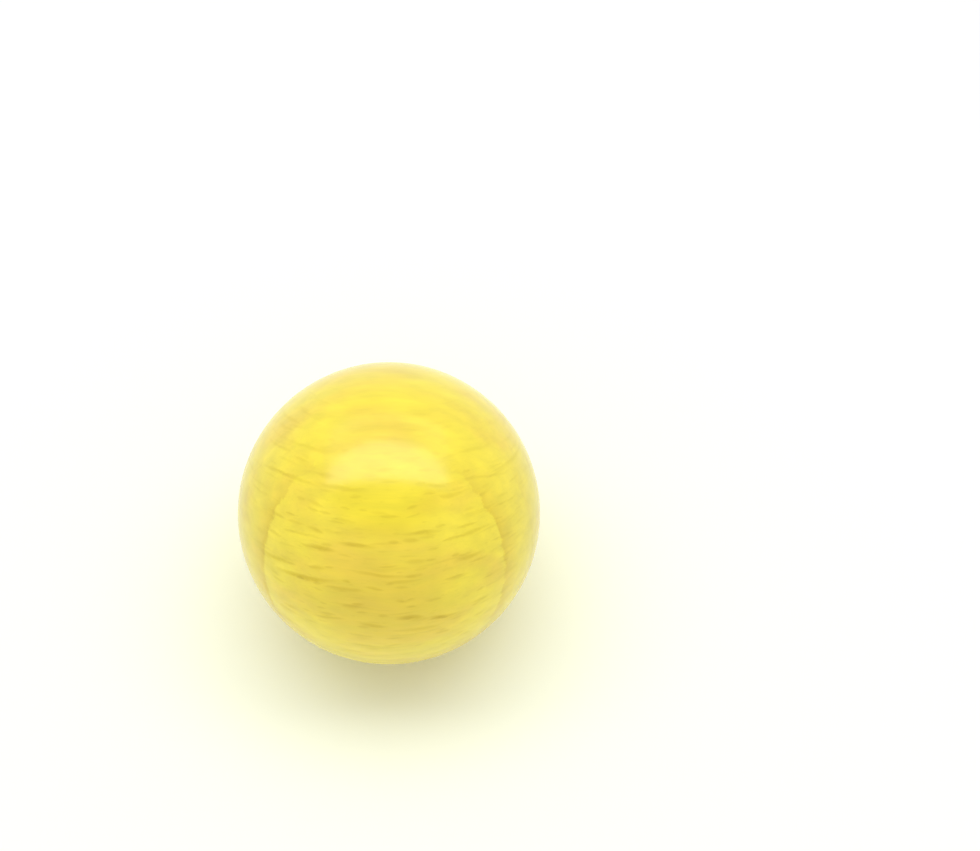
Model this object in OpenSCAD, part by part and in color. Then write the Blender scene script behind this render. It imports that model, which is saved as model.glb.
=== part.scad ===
// Turned wooden ball, solid and undrilled. All lengths are in millimetres.

/* [Ball] */
// Diameter of the finished ball, stain and lacquer included
ball_d = 30; // [10:1:100]

/* [Hidden] */
// Facets round the ball where it is drawn as a mesh
$fn = 128;
// Yellow of the stained wood, as red, green and blue
stain_yellow = [0.94, 0.85, 0.26];

// The ball is one piece of wood. It is centred on the origin, so every turn about the
// centre leaves its form where it was. The grain of the wood runs along X.
module ball() {
    color(stain_yellow)
        sphere(d = ball_d);
}

ball();
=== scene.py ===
"""A turned beech ball, stained yellow under a satin lacquer, on a plain pale floor.

Lengths are in metres, in the frame of the ball's own solid model: the origin is its centre,
+Z is up and +X runs along the grain. The pattern of the wood is worked out in millimetres.
"""
import math
from typing import NamedTuple

import bpy
from bpy.props import FloatProperty, FloatVectorProperty, IntProperty, PointerProperty
from bpy.types import NodeSocket, Operator, Panel, PropertyGroup
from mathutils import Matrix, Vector


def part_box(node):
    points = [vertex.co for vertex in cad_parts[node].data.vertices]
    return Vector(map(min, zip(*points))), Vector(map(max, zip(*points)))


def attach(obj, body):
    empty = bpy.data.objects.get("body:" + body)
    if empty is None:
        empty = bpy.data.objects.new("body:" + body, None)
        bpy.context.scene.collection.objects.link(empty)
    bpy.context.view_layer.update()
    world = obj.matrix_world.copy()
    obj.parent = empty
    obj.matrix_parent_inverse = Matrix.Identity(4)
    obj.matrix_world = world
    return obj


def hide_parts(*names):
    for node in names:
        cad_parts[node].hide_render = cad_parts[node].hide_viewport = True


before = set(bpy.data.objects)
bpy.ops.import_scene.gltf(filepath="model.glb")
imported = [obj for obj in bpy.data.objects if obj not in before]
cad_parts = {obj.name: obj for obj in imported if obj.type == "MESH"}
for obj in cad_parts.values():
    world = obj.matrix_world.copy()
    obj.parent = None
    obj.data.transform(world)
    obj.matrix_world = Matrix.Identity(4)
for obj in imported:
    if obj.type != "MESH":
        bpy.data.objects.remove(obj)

bl_info = {
    "name": "Turned wooden ball",
    "version": (1, 0, 0),
    "blender": (4, 5, 0),
    "location": "View3D > Sidebar > Wooden ball",
    "description": "Makes a stained beech ball and the pale studio that it lies in",
    "category": "Add Mesh",
}

MM = 0.001

# The solid model's node that the ball stands for, and its body
BALL_NODE = "ball"
BODY = "root"
LOWEST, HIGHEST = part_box(BALL_NODE)
BALL_RADIUS = (HIGHEST.z - LOWEST.z) / 2

# The photograph's frame, and where the ball lies in it, in pixels
IMAGE_WIDTH = 980
IMAGE_HEIGHT = 851
BALL_X = 389.3
BALL_Y = 513.0
BALL_PIXEL_RADIUS = 150.9

# Length and width in millimetres of the spots in each uneven pattern of the wood
FIBRES = (3.0, 0.2)
STREAKS = (8.0, 1.2)
PATCHES = (9.0, 4.0)
MOTTLE = (3.5, 1.6)

# The longest bend of the grain and the most that it could wander from side to side, in millimetres
WANDER_LENGTH = 17.0
WANDER_SPAN = 1.6

# Where late wood and the ring line begin to show and where they are full, as parts of a year's
# growth, and how deeply the line is stained
LATE_WOOD = (0.5, 0.95)
RING_LINE = (0.88, 0.96)
RING_DEPTH = 0.3

# Half the most that good and poor years shift a ring, in years, and how far in millimetres a ring
# strays where it crosses rays
YEAR_SWING = 0.25
MOST_DIP = 0.45

# Length in millimetres of the spots in the pattern of pores, and how deeply pores are stained
PORE_SPOT = 4.8
PORE_DEPTH = 0.08

# The most that fibres could fray a ray's edge from side to side, and how far outward one ray
# runs, in millimetres
FRAY_SPAN = 0.15
RAY_RUN = 7.0

# The steepest that a scattered ray fleck leans off the grain, in millimetres across for each along
MOST_LEAN = 0.07


class RayKind(NamedTuple):
    """One kind of scattered ray fleck"""

    length: float       # the longest, as a share of the ray length that is set
    width: float        # the widest, as a share of the ray width that is set
    room: tuple         # length and width in millimetres of the room that each has
    depth: float        # how deeply the darkest are stained, from 0 to 1
    bark_side: float    # how much of that is left on the side towards the bark
    seed: float         # sets where they lie


# In the order in which they are stained in, so that the broad ones lie over all the others
RAY_KINDS = (
    RayKind(0.25, 0.35, (1.7, 0.5), 0.15, 1.0, 19),     # fine rays
    RayKind(1.6, 0.6, (11.0, 1.5), 0.36, 0.65, 31),     # long thin lines of rays and pores in file
    RayKind(0.5, 0.75, (3.0, 0.7), 0.38, 1.0, 7),       # small rays
    RayKind(1.0, 1.0, (6.0, 0.9), 0.57, 0.65, 1),       # broad rays
)

# The plainest ray flecks, listed one by one on the side towards the bark, and how deeply they are
# stained. Each has its middle along the grain, its middle across it and its length, in
# millimetres, then its lean off the grain, in millimetres across for each along, and how bold it
# is, as a share of the ray width that is set and of the stain's depth.
PLAIN_DEPTH = 0.44
PLAIN_FLECKS = (
    (-7.3, 12.0, 4.0, -0.15, 0.5),
    (-6.5, 9.8, 6.0, 0.05, 0.6),
    (0.8, 11.1, 5.0, -0.05, 0.6),
    (-8.6, 7.5, 6.0, 0.05, 0.6),
    (-3.7, 7.8, 5.0, 0.0, 0.7),
    (10.0, 7.6, 5.0, -0.2, 0.5),
    (-5.5, 3.5, 2.5, 0.0, 0.8),
    (-2.0, 4.1, 3.5, 0.0, 0.7),
    (4.3, 5.0, 2.5, -0.05, 0.7),
    (-7.2, 1.0, 6.0, 0.1, 0.9),
    (-10.6, 1.5, 4.0, 0.1, 0.8),
    (0.0, 2.1, 5.5, -0.05, 0.6),
    (8.3, 2.5, 2.5, 0.0, 0.7),
    (2.9, -1.4, 2.5, -0.05, 0.9),
    (5.5, -1.9, 1.5, -0.2, 0.9),
    (-5.1, -2.0, 3.5, 0.1, 0.6),
)

# How far the drying lacquer sinks into a mark of full depth, and the share of its film that is
# lost there. The darkest marks have little more than half of that depth.
LACQUER_SINK = 0.01 * MM
LACQUER_LOSS = 1.4

# Half the floor's width, and how far from the ball's centre it is plain white, in ball radii
FLOOR_REACH = 100
WHITE_REACH = 7.5

# Numbers of the colour sockets on a mix node, whose names its other kinds of value share
MIX_A, MIX_B, MIX_RESULT = 6, 7, 2


def linear(hex_colour):
    """The linear red, green and blue of an sRGB hex colour."""
    shares = (int(hex_colour[i:i + 2], 16) / 255 for i in (1, 3, 5))
    return tuple(s / 12.92 if s <= 0.04045 else ((s + 0.055) / 1.055) ** 2.4 for s in shares)


def add(tree, kind, inputs=None, **settings):
    """Adds a node, makes its settings, and feeds its inputs from sockets or plain values."""
    node = tree.nodes.new(kind)
    for name, value in settings.items():
        setattr(node, name, value)
    for key, value in (inputs or {}).items():
        if isinstance(value, NodeSocket):
            tree.links.new(value, node.inputs[key])
        else:
            node.inputs[key].default_value = value
    return node


class BallShape(PropertyGroup):
    """Form of the turned and sanded ball"""

    radius: FloatProperty(
        name="Radius", description="From the ball's centre to its surface",
        default=BALL_RADIUS, min=1 * MM, unit="LENGTH", subtype="DISTANCE")
    edge_points: IntProperty(
        name="Points per edge", description="Mesh points along each edge of the cube that is blown round",
        default=111, min=3, max=129)
    ripple_height: FloatProperty(
        name="Ripple height", description="How far the sanded surface strays from a true sphere",
        default=0.03 * MM, min=0, unit="LENGTH", subtype="DISTANCE")
    ripple_width: FloatProperty(
        name="Ripple width", description="Width of one ripple that sanding leaves",
        default=6 * MM, min=0.1 * MM, unit="LENGTH", subtype="DISTANCE")


class BeechGrain(PropertyGroup):
    """Growth rings, rays and pores of the beech"""

    ring_tilt: FloatProperty(
        name="Ring tilt", description="Turn about the grain that sets which way the tree grew outward",
        default=math.radians(63), subtype="ANGLE")
    grain_skew: FloatProperty(
        name="Grain skew", description="Lean of the rings along the grain",
        default=math.radians(1.6), subtype="ANGLE")
    pith_distance: FloatProperty(
        name="Pith distance", description="From the ball's centre to the middle of the tree",
        default=36 * MM, min=20 * MM, unit="LENGTH", subtype="DISTANCE")
    ring_place: FloatProperty(
        name="Ring place", description="From the ball's centre out to the ring that shows",
        default=9.5 * MM, unit="LENGTH", subtype="DISTANCE")
    ring_width: FloatProperty(
        name="Ring width", description="One year's growth, which good and poor years change by about a third",
        default=5.4 * MM, min=0.5 * MM, unit="LENGTH", subtype="DISTANCE")
    ray_length: FloatProperty(
        name="Ray length", description="Longest broad ray fleck along the grain",
        default=5.0 * MM, min=0.5 * MM, unit="LENGTH", subtype="DISTANCE")
    ray_width: FloatProperty(
        name="Ray width", description="Widest ray fleck across the grain",
        default=0.48 * MM, min=0.05 * MM, unit="LENGTH", subtype="DISTANCE")
    pore_width: FloatProperty(
        name="Pore width", description="Pore across the grain, drawn wider than a real 0.06 mm one to show",
        default=0.11 * MM, min=0.02 * MM, unit="LENGTH", subtype="DISTANCE")


class StainColours(PropertyGroup):
    """Colours of the stained wood under its lacquer"""

    early: FloatVectorProperty(
        name="Early wood", description="Stained wood of spring growth",
        default=linear("#ECD82E"), size=3, min=0, max=1, subtype="COLOR")
    late: FloatVectorProperty(
        name="Late wood", description="Denser stained wood of summer growth",
        default=linear("#E0C528"), size=3, min=0, max=1, subtype="COLOR")
    ring: FloatVectorProperty(
        name="Ring line", description="Thin line where one year's growth ends",
        default=linear("#BFA020"), size=3, min=0, max=1, subtype="COLOR")
    ray: FloatVectorProperty(
        name="Ray", description="Ray cells, which drink more stain than the wood round them",
        default=linear("#A28200"), size=3, min=0, max=1, subtype="COLOR")
    blush: FloatVectorProperty(
        name="Blush", description="Warm patches where the stain took more",
        default=linear("#E4C038"), size=3, min=0, max=1, subtype="COLOR")


class StudioSetup(PropertyGroup):
    """Floor, light and camera"""

    floor_colour: FloatVectorProperty(
        name="Floor", description="Matt white paper",
        default=linear("#FAFDEC"), size=3, min=0, max=1, subtype="COLOR")
    lamp_width: FloatProperty(
        name="Lamp width", description="Softbox from left to right",
        default=1.2, min=0.01, unit="LENGTH", subtype="DISTANCE")
    lamp_depth: FloatProperty(
        name="Lamp depth", description="Softbox from front to back",
        default=0.8, min=0.01, unit="LENGTH", subtype="DISTANCE")
    lamp_height: FloatProperty(
        name="Lamp height", description="Softbox above the ball",
        default=0.6, min=0.1, unit="LENGTH", subtype="DISTANCE")
    lamp_front: FloatProperty(
        name="Lamp front", description="How far the softbox's front edge reaches past the ball's centre",
        default=0.045, unit="LENGTH", subtype="DISTANCE")
    lamp_bright: FloatProperty(
        name="Bright part", description="Share of the softbox's depth that is bright",
        default=0.45, min=0.1, max=1, subtype="FACTOR")
    lamp_dim: FloatProperty(
        name="Dim part", description="Strength of the softbox's far sides and back beside its bright part",
        default=0.28, min=0, max=1, subtype="FACTOR")
    lamp_watts: FloatProperty(
        name="Lamp power", description="Power of the softbox if its whole face were bright",
        default=7.4, min=0, unit="POWER")
    room_front: FloatProperty(
        name="Room light in front", description="Strength of the soft light from behind the camera",
        default=0.88, min=0)
    room_back: FloatProperty(
        name="Room light behind", description="Strength of the soft light from behind the ball",
        default=0.44, min=0)
    ceiling: FloatProperty(
        name="Ceiling", description="Brightness of the ceiling beside plain white walls, as a gloss shows it",
        default=0.3, min=0, subtype="FACTOR")
    lens: FloatProperty(
        name="Lens", description="Focal length on a sensor 36 mm wide",
        default=101.6, min=10, unit="CAMERA")
    pitch: FloatProperty(
        name="Pitch", description="How far the camera looks down",
        default=math.radians(59.2), subtype="ANGLE")


class WoodenBall(PropertyGroup):
    """Everything that a user of the ball can set"""

    shape: PointerProperty(type=BallShape)
    grain: PointerProperty(type=BeechGrain)
    stain: PointerProperty(type=StainColours)
    studio: PointerProperty(type=StudioSetup)


# Shape of the ball


def ball_tree(material):
    """Geometry nodes that blow a gridded cube up into a ball with the ripples of sanding."""
    tree = bpy.data.node_groups.new("Turned ball", "GeometryNodeTree")
    kinds = {
        "Radius": "NodeSocketFloat",
        "Edge points": "NodeSocketInt",
        "Ripple height": "NodeSocketFloat",
        "Ripple width": "NodeSocketFloat",
    }
    for name, kind in kinds.items():
        tree.interface.new_socket(name=name, in_out="INPUT", socket_type=kind)
    tree.interface.new_socket(name="Ball", in_out="OUTPUT", socket_type="NodeSocketGeometry")
    given = add(tree, "NodeGroupInput").outputs

    cube = add(tree, "GeometryNodeMeshCube", {
        "Size": (2, 2, 2),
        "Vertices X": given["Edge points"],
        "Vertices Y": given["Edge points"],
        "Vertices Z": given["Edge points"]})
    # The tangent spaces the grid so that its squares stay alike in size once they are round
    place = add(tree, "GeometryNodeInputPosition")
    angle = add(tree, "ShaderNodeVectorMath", {
        0: place.outputs["Position"], "Scale": math.pi / 4}, operation="SCALE")
    spaced = add(tree, "ShaderNodeVectorMath", {0: angle.outputs["Vector"]}, operation="TANGENT")
    outward = add(tree, "ShaderNodeVectorMath", {0: spaced.outputs["Vector"]}, operation="NORMALIZE")

    ripples_per_radius = add(tree, "ShaderNodeMath", {
        0: given["Radius"], 1: given["Ripple width"]}, operation="DIVIDE")
    ripple = add(tree, "ShaderNodeTexNoise", {
        "Vector": outward.outputs["Vector"],
        "Scale": ripples_per_radius.outputs["Value"],
        "Detail": 2.0})
    height = add(tree, "ShaderNodeMapRange", {
        "Value": ripple.outputs["Fac"], "From Min": 0.5, "From Max": 1.0, "To Min": 0.0,
        "To Max": given["Ripple height"]}, clamp=False)
    reach = add(tree, "ShaderNodeMath", {
        0: given["Radius"], 1: height.outputs["Result"]}, operation="ADD")
    surface = add(tree, "ShaderNodeVectorMath", {
        0: outward.outputs["Vector"], "Scale": reach.outputs["Value"]}, operation="SCALE")

    blown = add(tree, "GeometryNodeSetPosition", {
        "Geometry": cube.outputs["Mesh"], "Position": surface.outputs["Vector"]})
    smooth = add(tree, "GeometryNodeSetShadeSmooth", {"Geometry": blown.outputs["Geometry"]})
    real = add(tree, "GeometryNodeRealizeInstances", {"Geometry": smooth.outputs["Geometry"]})
    dressed = add(tree, "GeometryNodeSetMaterial", {
        "Geometry": real.outputs["Geometry"], "Material": material})
    add(tree, "NodeGroupOutput", {"Ball": dressed.outputs["Geometry"]})
    return tree


def made_mesh(name, tree, values):
    """The plain mesh that a geometry nodes tree gives for these input values."""
    holder = bpy.data.objects.new(name, bpy.data.meshes.new(name))
    bpy.context.scene.collection.objects.link(holder)
    nodes = holder.modifiers.new(name, "NODES")
    nodes.node_group = tree
    for socket in tree.interface.items_tree:
        if socket.in_out == "INPUT":
            nodes[socket.identifier] = values[socket.name]
    evaluated = holder.evaluated_get(bpy.context.evaluated_depsgraph_get())
    mesh = bpy.data.meshes.new_from_object(evaluated)
    bpy.data.objects.remove(holder)
    # The cube brings an empty material slot, which no face uses
    mesh.materials.pop(index=0)
    mesh.name = name
    return mesh


# Stained and lacquered beech


class Wood(NamedTuple):
    """Sockets that every part of the wood's pattern reads, with lengths in millimetres"""

    place: NodeSocket           # the point's place in the tree, as the next three together
    along: NodeSocket           # along the grain
    across: NodeSocket          # across the grain and along the rings
    outward: NodeSocket         # from the ball's centre towards the bark
    from_pith: NodeSocket       # the same from the middle of the tree
    end_cut: NodeSocket         # 1 where the surface cuts squarely across the grain
    quarter_cut: NodeSocket     # 1 where it is quarter-sawn, squarely across the rings
    fibres: NodeSocket          # fine uneven pattern, from 0 to 1
    streaks: NodeSocket         # broader one
    patches: NodeSocket         # broadest one
    other_patches: NodeSocket   # one as broad, with its patches elsewhere


def drawn_out(tree, place, size, detail):
    """Outputs of a soft random pattern whose spots have a size in millimetres, (long, wide)."""
    long, wide = size
    spots = add(tree, "ShaderNodeVectorMath", {
        0: place, 1: (1 / long, 1 / wide, 1 / wide)}, operation="MULTIPLY").outputs["Vector"]
    return add(tree, "ShaderNodeTexNoise", {"Vector": spots, "Scale": 1.0, "Detail": detail}).outputs


def wood_place(tree, grain):
    """Socket of a point's place in the tree, in millimetres: along the grain, across it, outward."""
    place = add(tree, "ShaderNodeTexCoord").outputs["Object"]
    turned = add(tree, "ShaderNodeMapping", {
        "Vector": place,
        "Rotation": (-grain.ring_tilt, grain.grain_skew, 0),
        "Scale": (1 / MM,) * 3}).outputs["Vector"]
    # No trunk is straight, so the grain wanders by up to half a millimetre
    wander = add(tree, "ShaderNodeTexNoise", {
        "Vector": turned, "Scale": 1 / WANDER_LENGTH, "Detail": 4.0, "Roughness": 0.62})
    drift = add(tree, "ShaderNodeVectorMath", {
        0: wander.outputs["Color"], 1: (0.5, 0.5, 0.5)}, operation="SUBTRACT").outputs["Vector"]
    return add(tree, "ShaderNodeVectorMath", {
        0: drift, 1: (WANDER_SPAN,) * 3, 2: turned}, operation="MULTIPLY_ADD").outputs["Vector"]


def sawn_wood(tree, grain, radius):
    """The wood's sockets for a ball of this radius, in millimetres."""
    place = wood_place(tree, grain)
    axes = add(tree, "ShaderNodeSeparateXYZ", {0: place}).outputs
    from_pith = add(tree, "ShaderNodeMath", {
        0: axes["Z"], 1: grain.pith_distance / MM}, operation="ADD").outputs["Value"]
    # A ball faces straight away from its centre, so a point's place tells how the wood is cut there
    facing = add(tree, "ShaderNodeVectorMath", {
        0: place, "Scale": 1 / radius}, operation="SCALE").outputs["Vector"]
    squared = add(tree, "ShaderNodeVectorMath", {0: facing, 1: facing}, operation="MULTIPLY")
    cut = add(tree, "ShaderNodeSeparateXYZ", {0: squared.outputs["Vector"]}).outputs
    patches = drawn_out(tree, place, PATCHES, 2.0)
    patch_colour = add(tree, "ShaderNodeSeparateColor", {0: patches["Color"]}).outputs
    return Wood(
        place=place,
        along=axes["X"],
        across=axes["Y"],
        outward=axes["Z"],
        from_pith=from_pith,
        end_cut=cut["X"],
        quarter_cut=cut["Y"],
        fibres=drawn_out(tree, place, FIBRES, 2.0)["Fac"],
        streaks=drawn_out(tree, place, STREAKS, 3.0)["Fac"],
        patches=patches["Fac"],
        other_patches=patch_colour["Green"])


def ring_years(tree, wood, grain):
    """Years of growth outward from the ring that shows, whole numbers at the rings."""
    ring_plane = add(tree, "ShaderNodeCombineXYZ", {"X": wood.across, "Y": wood.from_pith})
    ring_radius = add(tree, "ShaderNodeVectorMath", {
        0: ring_plane.outputs["Vector"]}, operation="LENGTH").outputs["Value"]
    # A ring dips where it crosses rays, and least where it is cut end on
    uneven = add(tree, "ShaderNodeMath", {
        0: wood.streaks, 1: 3.0, 2: wood.fibres}, operation="MULTIPLY_ADD").outputs["Value"]
    dip = add(tree, "ShaderNodeMapRange", {
        "Value": uneven, "From Min": 1.3, "From Max": 2.7,
        "To Min": -MOST_DIP, "To Max": MOST_DIP}).outputs["Result"]
    dip_share = add(tree, "ShaderNodeMapRange", {
        "Value": wood.end_cut, "To Min": 1.0, "To Max": 0.25}).outputs["Result"]
    ring_radius = add(tree, "ShaderNodeMath", {
        0: dip, 1: dip_share, 2: ring_radius}, operation="MULTIPLY_ADD").outputs["Value"]
    pith = grain.pith_distance / MM
    even_years = add(tree, "ShaderNodeMapRange", {
        "Value": ring_radius,
        "From Min": pith + grain.ring_place / MM,
        "From Max": pith + (grain.ring_place + grain.ring_width) / MM}, clamp=False).outputs["Result"]
    # Good years are wider than poor ones, and the ring that shows stays at 0
    swing = add(tree, "ShaderNodeMath", {0: even_years, 1: 1.2}, operation="MULTIPLY")
    swing = add(tree, "ShaderNodeMath", {0: swing.outputs["Value"]}, operation="COSINE")
    years = add(tree, "ShaderNodeMath", {
        0: swing.outputs["Value"], 1: YEAR_SWING, 2: even_years}, operation="MULTIPLY_ADD")
    return add(tree, "ShaderNodeMath", {
        0: years.outputs["Value"], 1: YEAR_SWING}, operation="SUBTRACT").outputs["Value"]


def year_growth(tree, wood, years):
    """How much late wood and how much of a ring line each point holds."""
    season = add(tree, "ShaderNodeMath", {0: years}, operation="FRACT").outputs["Value"]
    # Some summers leave darker wood than others
    summer = add(tree, "ShaderNodeMath", {0: years}, operation="FLOOR")
    summer = add(tree, "ShaderNodeMath", {
        0: summer.outputs["Value"], 1: 1.6, 2: 2.1}, operation="MULTIPLY_ADD")
    summer = add(tree, "ShaderNodeMath", {0: summer.outputs["Value"]}, operation="SINE")
    summer = add(tree, "ShaderNodeMapRange", {
        "Value": summer.outputs["Value"], "From Min": -1.0, "To Min": 0.2}).outputs["Result"]
    # It shows well on faces that are cut along the rings, and little on quarter-sawn ones
    summer_show = add(tree, "ShaderNodeMapRange", {
        "Value": wood.quarter_cut, "From Min": 0.1, "From Max": 0.55, "To Min": 1.0, "To Max": 0.15})
    summer = add(tree, "ShaderNodeMath", {
        0: summer, 1: summer_show.outputs["Result"]}, operation="MULTIPLY").outputs["Value"]
    # The next spring's growth starts pale within a fifth of a millimetre
    before_spring = add(tree, "ShaderNodeMapRange", {
        "Value": season, "From Min": RING_LINE[1], "From Max": 1.0, "To Min": 1.0, "To Max": 0.0})
    grown = []
    for begins, is_full in (LATE_WOOD, RING_LINE):
        rise = add(tree, "ShaderNodeMapRange", {
            "Value": season, "From Min": begins, "From Max": is_full, "To Max": summer},
            interpolation_type="SMOOTHSTEP")
        growth = add(tree, "ShaderNodeMath", {
            0: rise.outputs["Result"], 1: before_spring.outputs["Result"]}, operation="MULTIPLY")
        grown.append(growth.outputs["Value"])
    late_wood, ring_line = grown
    # Some stretches of a ring line hardly show
    line_show = add(tree, "ShaderNodeMapRange", {
        "Value": wood.other_patches, "From Min": 0.4, "From Max": 0.6, "To Min": 0.1})
    ring_line = add(tree, "ShaderNodeMath", {
        0: ring_line, 1: line_show.outputs["Result"]}, operation="MULTIPLY").outputs["Value"]
    return late_wood, ring_line


def ray_sheet(tree, wood, grain):
    """A point's place on the sheet that the rays pierce, in millimetres along it and across."""
    # Rays lie in planes through the pith, so they close up towards it
    across = add(tree, "ShaderNodeMath", {
        0: wood.across, 1: wood.from_pith}, operation="DIVIDE").outputs["Value"]
    across = add(tree, "ShaderNodeMath", {
        0: across, 1: grain.pith_distance / MM}, operation="MULTIPLY").outputs["Value"]
    # The fibres that part round a ray fray its edges
    fray = add(tree, "ShaderNodeMath", {0: wood.fibres, 1: 0.5}, operation="SUBTRACT")
    across = add(tree, "ShaderNodeMath", {
        0: fray.outputs["Value"], 1: FRAY_SPAN, 2: across}, operation="MULTIPLY_ADD").outputs["Value"]
    return add(tree, "ShaderNodeCombineXYZ", {"X": wood.along, "Y": across}).outputs["Vector"]


def lens(tree, from_middle, chance, length, width):
    """One ray end: pointed at both ends, up to length by width, and darker towards one of them."""
    # It leans a few degrees off the grain
    lean = add(tree, "ShaderNodeMapRange", {
        "Value": chance["Red"], "To Min": -MOST_LEAN, "To Max": MOST_LEAN}).outputs["Result"]
    sideways = add(tree, "ShaderNodeMath", {
        0: from_middle["X"], 1: lean, 2: from_middle["Y"]}, operation="MULTIPLY_ADD").outputs["Value"]
    # Short ones are commoner than long ones
    rarity = add(tree, "ShaderNodeMath", {0: chance["Green"], 1: 1.8}, operation="POWER")
    half_length = add(tree, "ShaderNodeMapRange", {
        "Value": rarity.outputs["Value"], "To Min": length * 0.18, "To Max": length * 0.5})
    half_width = add(tree, "ShaderNodeMapRange", {
        "Value": chance["Blue"], "To Min": width * 0.25, "To Max": width * 0.5})
    run = add(tree, "ShaderNodeMath", {
        0: from_middle["X"], 1: half_length.outputs["Result"]}, operation="DIVIDE").outputs["Value"]
    run_squared = add(tree, "ShaderNodeMath", {0: run, 1: run}, operation="MULTIPLY")
    breadth = add(tree, "ShaderNodeMath", {
        0: sideways, 1: half_width.outputs["Result"]}, operation="DIVIDE")
    breadth = add(tree, "ShaderNodeMath", {0: breadth.outputs["Value"]}, operation="ABSOLUTE")
    reach = add(tree, "ShaderNodeMath", {
        0: run_squared.outputs["Value"], 1: breadth.outputs["Value"]}, operation="ADD")
    shape = add(tree, "ShaderNodeMapRange", {
        "Value": reach.outputs["Value"], "From Min": 1.25, "From Max": 0.1},
        interpolation_type="SMOOTHSTEP")
    end = add(tree, "ShaderNodeMath", {0: run, 1: lean}, operation="MULTIPLY")
    tone = add(tree, "ShaderNodeMapRange", {
        "Value": end.outputs["Value"], "From Min": -MOST_LEAN, "From Max": MOST_LEAN,
        "To Min": 0.4, "To Max": 1.0})
    return add(tree, "ShaderNodeMath", {
        0: shape.outputs["Result"], 1: tone.outputs["Result"]}, operation="MULTIPLY").outputs["Value"]


def scattered_flecks(tree, sheet, outward, kind, grain):
    """Ray ends of one kind all over the sheet, each with a room to itself."""
    room_length, room_width = kind.room
    rooms = add(tree, "ShaderNodeVectorMath", {
        0: sheet, 1: (1 / room_length, 1 / room_width, 0), 2: (kind.seed, 3 * kind.seed, 0)},
        operation="MULTIPLY_ADD").outputs["Vector"]
    nearest = add(tree, "ShaderNodeTexVoronoi", {
        "Vector": rooms, "Scale": 1.0}, voronoi_dimensions="2D").outputs
    offset = add(tree, "ShaderNodeVectorMath", {
        0: rooms, 1: nearest["Position"]}, operation="SUBTRACT").outputs["Vector"]
    millimetres = add(tree, "ShaderNodeVectorMath", {
        0: offset, 1: (room_length, room_width, 0)}, operation="MULTIPLY").outputs["Vector"]
    from_middle = add(tree, "ShaderNodeSeparateXYZ", {0: millimetres}).outputs
    chance = add(tree, "ShaderNodeSeparateColor", {0: nearest["Color"]}).outputs
    length = grain.ray_length / MM * kind.length
    width = grain.ray_width / MM * kind.width
    flecks = lens(tree, from_middle, chance, length, width)

    # A ray runs outward for several millimetres and then gives way to another
    thread = add(tree, "ShaderNodeMath", {
        0: chance["Green"], 1: 53.0, 2: kind.seed}, operation="MULTIPLY_ADD").outputs["Value"]
    thread = add(tree, "ShaderNodeMath", {
        0: outward, 1: 1 / RAY_RUN, 2: thread}, operation="MULTIPLY_ADD").outputs["Value"]
    strength = add(tree, "ShaderNodeTexNoise", {
        "W": thread, "Scale": 1.0, "Detail": 0.0}, noise_dimensions="1D")
    strength = add(tree, "ShaderNodeMapRange", {
        "Value": strength.outputs["Fac"], "From Min": 0.28, "From Max": 0.6}).outputs["Result"]
    flecks = add(tree, "ShaderNodeMath", {
        0: flecks, 1: strength}, operation="MULTIPLY").outputs["Value"]
    # Towards the bark, where the plainest ones are placed one by one, some kinds are fainter
    bark_side = add(tree, "ShaderNodeMapRange", {
        "Value": outward, "From Max": 5.0, "To Min": 1.0, "To Max": kind.bark_side}).outputs["Result"]
    return add(tree, "ShaderNodeMath", {
        0: flecks, 1: bark_side}, operation="MULTIPLY").outputs["Value"]


def placed_flecks(tree, sheet, outward, width):
    """The ray ends that the eye finds first, each at its own place on the side towards the bark."""
    marks = 0.0
    for fleck_along, fleck_across, length, lean, bold in PLAIN_FLECKS:
        in_halves = add(tree, "ShaderNodeMapping", {
            "Vector": sheet,
            "Location": (fleck_along, fleck_across, 0),
            "Rotation": (0, 0, math.atan(lean)),
            "Scale": (length / 2, width * bold / 2, 1)}, vector_type="TEXTURE").outputs["Vector"]
        reach = add(tree, "ShaderNodeVectorMath", {0: in_halves}, operation="LENGTH")
        mark = add(tree, "ShaderNodeMapRange", {
            "Value": reach.outputs["Value"], "From Min": 1.35, "From Max": 0.25, "To Max": bold},
            interpolation_type="SMOOTHSTEP")
        marks = add(tree, "ShaderNodeMath", {
            0: mark.outputs["Result"], 1: marks}, operation="MAXIMUM").outputs["Value"]
    bark_side = add(tree, "ShaderNodeMapRange", {"Value": outward}).outputs["Result"]
    return add(tree, "ShaderNodeMath", {0: marks, 1: bark_side}, operation="MULTIPLY").outputs["Value"]


def pores_and_rays(tree, wood, grain):
    """Pores and each kind of ray fleck, with how deeply each is stained, the plainest last."""
    # Pores are long thin tubes along the grain, and dots where it is cut across. They take the
    # middle half of each spot of their pattern.
    pores = drawn_out(tree, wood.place, (PORE_SPOT, 2 * grain.pore_width / MM), 1.0)
    pores = add(tree, "ShaderNodeMapRange", {
        "Value": pores["Fac"], "From Min": 0.58, "From Max": 0.76}).outputs["Result"]
    marks = [(pores, PORE_DEPTH)]
    sheet = ray_sheet(tree, wood, grain)
    for kind in RAY_KINDS:
        marks.append((scattered_flecks(tree, sheet, wood.outward, kind, grain), kind.depth))
    placed = placed_flecks(tree, sheet, wood.outward, grain.ray_width / MM)
    marks.append((placed, PLAIN_DEPTH))
    return marks


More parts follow.
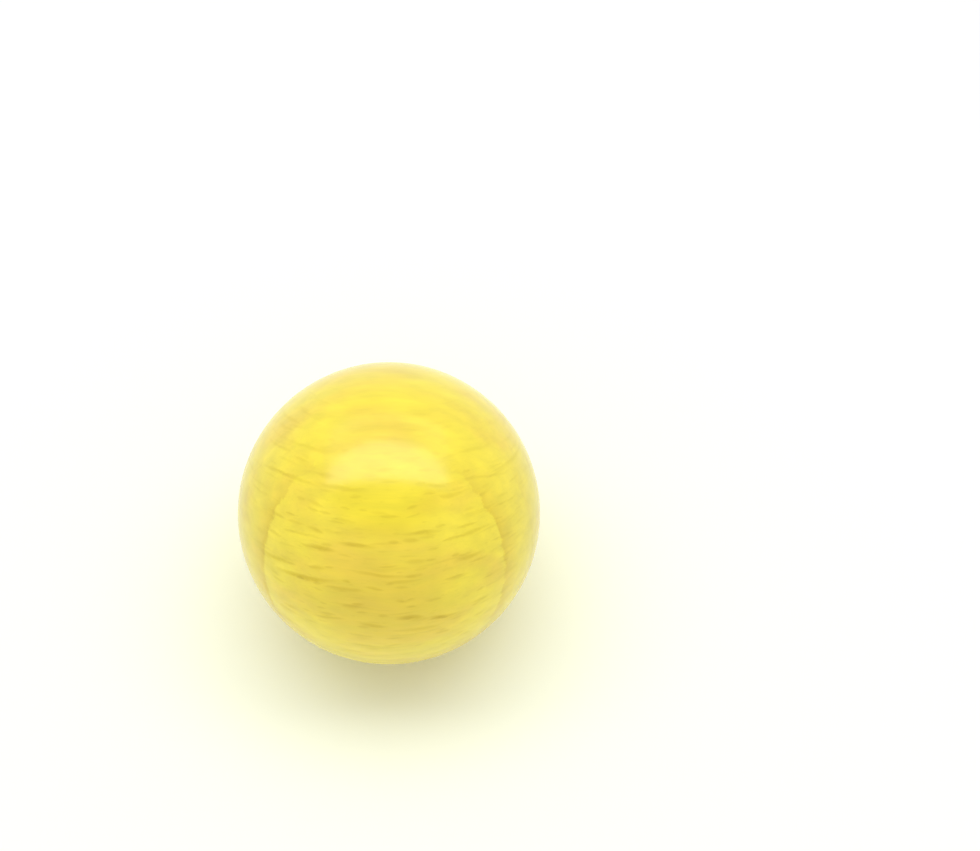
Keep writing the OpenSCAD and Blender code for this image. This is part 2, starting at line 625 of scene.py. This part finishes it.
def mark_show(tree, wood):
    """How far pores and rays show at each point."""
    # Cut along their broad side, as on quarter-sawn faces, or end on, rays stand out less
    quarter_show = add(tree, "ShaderNodeMapRange", {
        "Value": wood.quarter_cut, "From Min": 0.2, "To Min": 1.0, "To Max": 0.1}).outputs["Result"]
    end_show = add(tree, "ShaderNodeMapRange", {
        "Value": wood.end_cut, "From Min": 0.35, "To Min": 1.0, "To Max": 0.2}).outputs["Result"]
    # The fibres round them break them up
    broken = add(tree, "ShaderNodeMapRange", {
        "Value": wood.fibres, "From Min": 0.38, "From Max": 0.62, "To Min": 0.7}).outputs["Result"]
    show = add(tree, "ShaderNodeMath", {
        0: quarter_show, 1: end_show}, operation="MULTIPLY").outputs["Value"]
    return add(tree, "ShaderNodeMath", {0: show, 1: broken}, operation="MULTIPLY").outputs["Value"]


def ground_colour(tree, wood, stain, late_wood):
    """Colour of the stained wood between its ring lines, pores and rays."""
    blush = add(tree, "ShaderNodeMapRange", {
        "Value": wood.patches, "From Min": 0.45, "From Max": 0.7, "To Max": 0.5}).outputs["Result"]
    colour = tuple(stain.early) + (1,)
    for layer_colour, share in ((stain.late, late_wood), (stain.blush, blush)):
        colour = add(tree, "ShaderNodeMix", {
            "Factor": share, MIX_A: colour, MIX_B: tuple(layer_colour) + (1,)}, data_type="RGBA")
        colour = colour.outputs[MIX_RESULT]
    # The wood takes the stain unevenly: each pattern lightens or darkens it by up to its own share
    mottle = drawn_out(tree, wood.place, MOTTLE, 1.0)["Fac"]
    for pattern, most in ((mottle, 0.04), (wood.streaks, 0.05), (wood.fibres, 0.015)):
        shade = add(tree, "ShaderNodeMapRange", {
            "Value": pattern, "From Min": 0.3, "From Max": 0.7, "To Min": 1 - most, "To Max": 1 + most})
        colour = add(tree, "ShaderNodeVectorMath", {
            0: colour, "Scale": shade.outputs["Result"]}, operation="SCALE").outputs["Vector"]
    # End grain is thirstier, so it comes out a tenth darker
    end_shade = add(tree, "ShaderNodeMapRange", {
        "Value": wood.end_cut, "From Min": 0.6, "To Min": 1.0, "To Max": 0.9},
        interpolation_type="SMOOTHSTEP")
    return add(tree, "ShaderNodeVectorMath", {
        0: colour, "Scale": end_shade.outputs["Result"]}, operation="SCALE").outputs["Vector"]


def stained_marks(tree, wood, stain, colour, ring_line, marks):
    """The colour with ring lines and marks stained in, and how strongly each point is marked."""
    marked = add(tree, "ShaderNodeMath", {
        0: ring_line, 1: RING_DEPTH}, operation="MULTIPLY").outputs["Value"]
    colour = add(tree, "ShaderNodeMix", {
        "Factor": marked, MIX_A: colour, MIX_B: tuple(stain.ring) + (1,)}, data_type="RGBA")
    show = mark_show(tree, wood)
    for mark, depth in marks:
        share = add(tree, "ShaderNodeMath", {0: mark, 1: depth}, operation="MULTIPLY").outputs["Value"]
        share = add(tree, "ShaderNodeMath", {0: share, 1: show}, operation="MULTIPLY").outputs["Value"]
        colour = add(tree, "ShaderNodeMix", {
            "Factor": share, MIX_A: colour.outputs[MIX_RESULT], MIX_B: tuple(stain.ray) + (1,)},
            data_type="RGBA")
        marked = add(tree, "ShaderNodeMath", {0: marked, 1: share}, operation="MAXIMUM").outputs["Value"]
    return colour.outputs[MIX_RESULT], marked


def stained_beech(settings):
    """Turned European beech, stained yellow and sprayed with clear satin lacquer.

    The stain keeps the wood's figure in view: broad soft growth rings that each end in one
    thin darker line, short olive-brown ray flecks along the grain, and hair-fine pores. The
    lacquer lies over it as an even clear film that mirrors the lamp as a soft-edged patch.
    """
    grain, stain = settings.grain, settings.stain
    material = bpy.data.materials.new("Stained beech, satin lacquer")
    material.use_nodes = True
    tree = material.node_tree
    tree.nodes.clear()

    wood = sawn_wood(tree, grain, settings.shape.radius / MM)
    late_wood, ring_line = year_growth(tree, wood, ring_years(tree, wood, grain))
    ground = ground_colour(tree, wood, stain, late_wood)
    marks = pores_and_rays(tree, wood, grain)
    colour, marked = stained_marks(tree, wood, stain, ground, ring_line, marks)

    # The lacquer sinks into rings, rays and pores as it dries, and less of it is left on them
    sunk = add(tree, "ShaderNodeBump", {
        "Height": marked, "Strength": 1.0, "Distance": LACQUER_SINK}, invert=True)
    film = add(tree, "ShaderNodeMath", {
        0: marked, 1: -LACQUER_LOSS, 2: 1.0}, operation="MULTIPLY_ADD")
    # Under the film the wood itself hardly shines. The film bends light a little more than a
    # lacquer's usual 1.5, to match its shine in the photograph.
    surface = add(tree, "ShaderNodeBsdfPrincipled", {
        "Base Color": colour,
        "Roughness": 0.55,
        "IOR": 1.5,
        "Specular IOR Level": 0.1,
        "Normal": sunk.outputs["Normal"],
        "Coat Weight": film.outputs["Value"],
        "Coat Roughness": 0.2,
        "Coat IOR": 1.6,
        "Coat Normal": sunk.outputs["Normal"]})
    add(tree, "ShaderNodeOutputMaterial", {"Surface": surface.outputs["BSDF"]})
    return material


# Studio


def seen_directly(tree):
    """Socket that is 1 for what the camera sees straight, in a gloss or through something clear."""
    ray = add(tree, "ShaderNodeLightPath").outputs
    seen = add(tree, "ShaderNodeMath", {
        0: ray["Is Camera Ray"], 1: ray["Is Glossy Ray"]}, operation="MAXIMUM")
    seen = add(tree, "ShaderNodeMath", {
        0: seen.outputs["Value"], 1: ray["Is Transmission Ray"]}, operation="MAXIMUM")
    return seen.outputs["Value"]


def backdrop_paper(studio, radius):
    """Matt white paper, which takes the ball's shadow and pales to plain white further off."""
    material = bpy.data.materials.new("Matt white backdrop paper")
    material.use_nodes = True
    tree = material.node_tree
    tree.nodes.clear()
    paper = add(tree, "ShaderNodeBsdfPrincipled", {
        "Base Color": tuple(studio.floor_colour) + (1,),
        "Roughness": 0.9,
        "Specular IOR Level": 0.2})
    white = add(tree, "ShaderNodeEmission", {"Color": (1, 1, 1, 1), "Strength": 1.0})
    place = add(tree, "ShaderNodeTexCoord").outputs["Object"]
    away = add(tree, "ShaderNodeVectorMath", {0: place}, operation="LENGTH")
    pale = add(tree, "ShaderNodeMapRange", {
        "Value": away.outputs["Value"], "From Min": radius, "From Max": WHITE_REACH * radius,
        "To Min": 0.0, "To Max": 1.0}, interpolation_type="SMOOTHSTEP")
    share = add(tree, "ShaderNodeMath", {
        0: seen_directly(tree), 1: pale.outputs["Result"]}, operation="MULTIPLY")
    mixed = add(tree, "ShaderNodeMixShader", {
        "Fac": share.outputs["Value"], 1: paper.outputs["BSDF"], 2: white.outputs["Emission"]})
    add(tree, "ShaderNodeOutputMaterial", {"Surface": mixed.outputs["Shader"]})
    return material


def lay_floor(studio, radius):
    """A flat sheet of paper that the ball lies on."""
    half = FLOOR_REACH * radius
    corners = [(x * half, y * half, LOWEST.z) for x, y in ((-1, -1), (1, -1), (1, 1), (-1, 1))]
    mesh = bpy.data.meshes.new("Floor")
    mesh.from_pydata(corners, [], [(0, 1, 2, 3)])
    mesh.materials.append(backdrop_paper(studio, radius))
    floor = bpy.data.objects.new("Floor", mesh)
    bpy.context.scene.collection.objects.link(floor)


def hang_lamp(studio):
    """One wide softbox over the ball, a little behind it, brightest at the middle of its front."""
    light = bpy.data.lights.new("Softbox", "AREA")
    light.shape = "RECTANGLE"
    light.size = studio.lamp_width
    light.size_y = studio.lamp_depth
    light.energy = studio.lamp_watts
    light.use_nodes = True
    tree = light.node_tree
    tree.nodes.clear()
    place = add(tree, "ShaderNodeNewGeometry").outputs["Position"]
    from_front = add(tree, "ShaderNodeVectorMath", {
        0: place, 1: (0, -studio.lamp_front, studio.lamp_height)}, operation="SUBTRACT")
    in_halves = add(tree, "ShaderNodeVectorMath", {
        0: from_front.outputs["Vector"],
        1: (2 / studio.lamp_width, 1 / (studio.lamp_depth * studio.lamp_bright), 0)}, operation="MULTIPLY")
    reach = add(tree, "ShaderNodeVectorMath", {0: in_halves.outputs["Vector"]}, operation="LENGTH")
    face = add(tree, "ShaderNodeMapRange", {
        "Value": reach.outputs["Value"], "From Min": 0.8, "From Max": 1.15,
        "To Min": 1.0, "To Max": studio.lamp_dim}, interpolation_type="SMOOTHSTEP")
    glow = add(tree, "ShaderNodeEmission", {
        "Color": (1, 1, 1, 1), "Strength": face.outputs["Result"]})
    add(tree, "ShaderNodeOutputLight", {"Surface": glow.outputs["Emission"]})
    lamp = bpy.data.objects.new("Softbox", light)
    lamp.location = (0, studio.lamp_depth / 2 - studio.lamp_front, studio.lamp_height)
    bpy.context.scene.collection.objects.link(lamp)


def fill_room(scene, studio):
    """Soft light from all round, more of it from the front. A gloss shows white walls under a
    dimmer ceiling.
    """
    world = bpy.data.worlds.new("White room")
    world.use_nodes = True
    tree = world.node_tree
    tree.nodes.clear()
    direction = add(tree, "ShaderNodeTexCoord").outputs["Generated"]
    axes = add(tree, "ShaderNodeSeparateXYZ", {0: direction}).outputs
    light = add(tree, "ShaderNodeMapRange", {
        "Value": axes["Y"], "From Min": -1.0, "From Max": 1.0, "To Min": studio.room_front,
        "To Max": studio.room_back}).outputs["Result"]
    walls = add(tree, "ShaderNodeMapRange", {
        "Value": axes["Z"], "From Min": 0.55, "From Max": 0.85, "To Min": 1.0,
        "To Max": studio.ceiling}, interpolation_type="SMOOTHSTEP").outputs["Result"]
    ray = add(tree, "ShaderNodeLightPath").outputs
    glossy = add(tree, "ShaderNodeMapRange", {
        "Value": ray["Is Glossy Ray"], "To Min": light, "To Max": walls}).outputs["Result"]
    straight = add(tree, "ShaderNodeMath", {
        0: ray["Is Camera Ray"], 1: ray["Is Transmission Ray"]}, operation="MAXIMUM")
    strength = add(tree, "ShaderNodeMapRange", {
        "Value": straight.outputs["Value"], "To Min": glossy, "To Max": 1.0})
    room = add(tree, "ShaderNodeBackground", {
        "Color": (1, 1, 1, 1), "Strength": strength.outputs["Result"]})
    add(tree, "ShaderNodeOutputWorld", {"Surface": room.outputs["Background"]})
    scene.world = world


def place_camera(scene, studio, radius):
    """Looks down at the ball from where it fills its own place in the photograph's frame."""
    data = bpy.data.cameras.new("Camera")
    data.lens = studio.lens
    pixels_per_unit = data.lens / data.sensor_width * IMAGE_WIDTH
    right = Vector((1, 0, 0))
    forward = Vector((0, math.cos(studio.pitch), -math.sin(studio.pitch)))
    up = right.cross(forward)
    to_ball = (
        forward
        + right * (BALL_X - IMAGE_WIDTH / 2) / pixels_per_unit
        - up * (BALL_Y - IMAGE_HEIGHT / 2) / pixels_per_unit)
    distance = radius / math.sin(math.atan(BALL_PIXEL_RADIUS / pixels_per_unit))
    camera = bpy.data.objects.new("Camera", data)
    camera.location = -to_ball.normalized() * distance
    camera.rotation_euler = forward.to_track_quat("-Z", "Y").to_euler()
    data.clip_start = radius
    data.clip_end = 200 * radius
    scene.collection.objects.link(camera)
    scene.camera = camera


# Operators and panel


class MESH_OT_turned_ball(Operator):
    """Makes the stained and lacquered beech ball"""

    bl_idname = "mesh.turned_ball"
    bl_label = "Turned ball"
    bl_options = {"REGISTER", "UNDO"}

    def execute(self, context):
        settings = context.scene.wooden_ball
        shape = settings.shape
        tree = ball_tree(stained_beech(settings))
        mesh = made_mesh("Ball", tree, {
            "Radius": shape.radius,
            "Edge points": shape.edge_points,
            "Ripple height": shape.ripple_height,
            "Ripple width": shape.ripple_width})
        if not mesh.polygons:
            raise RuntimeError("the nodes gave no ball")
        ball = bpy.data.objects.new("Ball", mesh)
        context.scene.collection.objects.link(ball)
        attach(ball, BODY)
        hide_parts(BALL_NODE)
        return {"FINISHED"}


class SCENE_OT_ball_studio(Operator):
    """Lays the pale floor, hangs the soft lamp and sets up the camera"""

    bl_idname = "scene.ball_studio"
    bl_label = "Studio"
    bl_options = {"REGISTER", "UNDO"}

    def execute(self, context):
        scene = context.scene
        settings = scene.wooden_ball
        lay_floor(settings.studio, settings.shape.radius)
        hang_lamp(settings.studio)
        fill_room(scene, settings.studio)
        place_camera(scene, settings.studio, settings.shape.radius)
        scene.view_settings.view_transform = "Standard"
        return {"FINISHED"}


class VIEW3D_PT_wooden_ball(Panel):
    """Lists the steps that make the ball, with their settings"""

    bl_label = "Wooden ball"
    bl_space_type = "VIEW_3D"
    bl_region_type = "UI"
    bl_category = "Wooden ball"

    def draw(self, context):
        settings = context.scene.wooden_ball
        parts = (
            ("Ball", MESH_OT_turned_ball, (settings.shape, settings.grain, settings.stain)),
            ("Studio", SCENE_OT_ball_studio, (settings.studio,)),
        )
        for title, operator, groups in parts:
            box = self.layout.box()
            box.label(text=title)
            for group in groups:
                for name in group.__annotations__:
                    box.prop(group, name)
            box.operator(operator.bl_idname)


CLASSES = (
    BallShape,
    BeechGrain,
    StainColours,
    StudioSetup,
    WoodenBall,
    MESH_OT_turned_ball,
    SCENE_OT_ball_studio,
    VIEW3D_PT_wooden_ball,
)


def register():
    """Registers the classes and gives each scene the ball's settings."""
    for cls in CLASSES:
        bpy.utils.register_class(cls)
    bpy.types.Scene.wooden_ball = PointerProperty(type=WoodenBall)


def unregister():
    """Takes away what register adds."""
    del bpy.types.Scene.wooden_ball
    for cls in reversed(CLASSES):
        bpy.utils.unregister_class(cls)


def main():
    """Makes the ball and its studio."""
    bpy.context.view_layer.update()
    register()
    bpy.ops.mesh.turned_ball()
    bpy.ops.scene.ball_studio()


if __name__ == "__main__":
    main()
